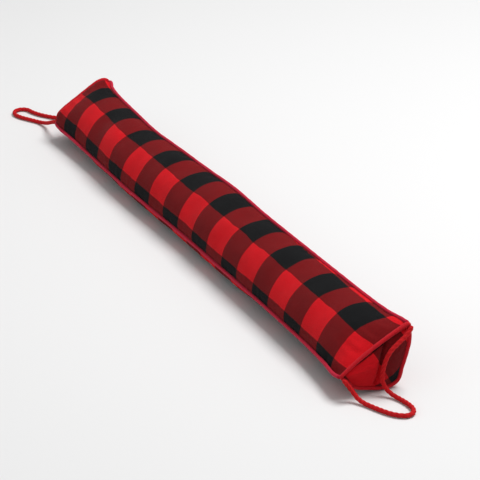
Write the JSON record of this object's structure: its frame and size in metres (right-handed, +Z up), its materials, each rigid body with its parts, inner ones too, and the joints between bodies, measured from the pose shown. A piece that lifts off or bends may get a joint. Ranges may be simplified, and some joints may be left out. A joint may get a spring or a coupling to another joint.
{
  "type": "draught excluder",
  "caption": "Long stuffed draught excluder in buffalo check cloth, with piped seams, flat foot, domed end panels and a twisted rope loop at each end.",
  "frame": {"origin": "centre of the underside of the part's box without the two rope loops, at floor level", "axes": "+X along the tube towards the near end, -Y the side of the lower long seam, +Z up"},
  "size_m": [1.1258, 0.117, 0.0841],
  "materials": {
    "check_cloth": "soft brushed weave in a red and black buffalo check",
    "red_piping": "matt covered cord",
    "red_rope": "matt twisted cord"
  },
  "bodies": {
    "root": {"body": "check_cloth", "end_panel_near": "check_cloth", "end_panel_far": "check_cloth", "piping_front": "red_piping", "piping_back": "red_piping", "piping_end_near": "red_piping", "piping_end_far": "red_piping", "rope_loop_near": "red_rope", "rope_loop_far": "red_rope"}
  },
  "joints": []
}
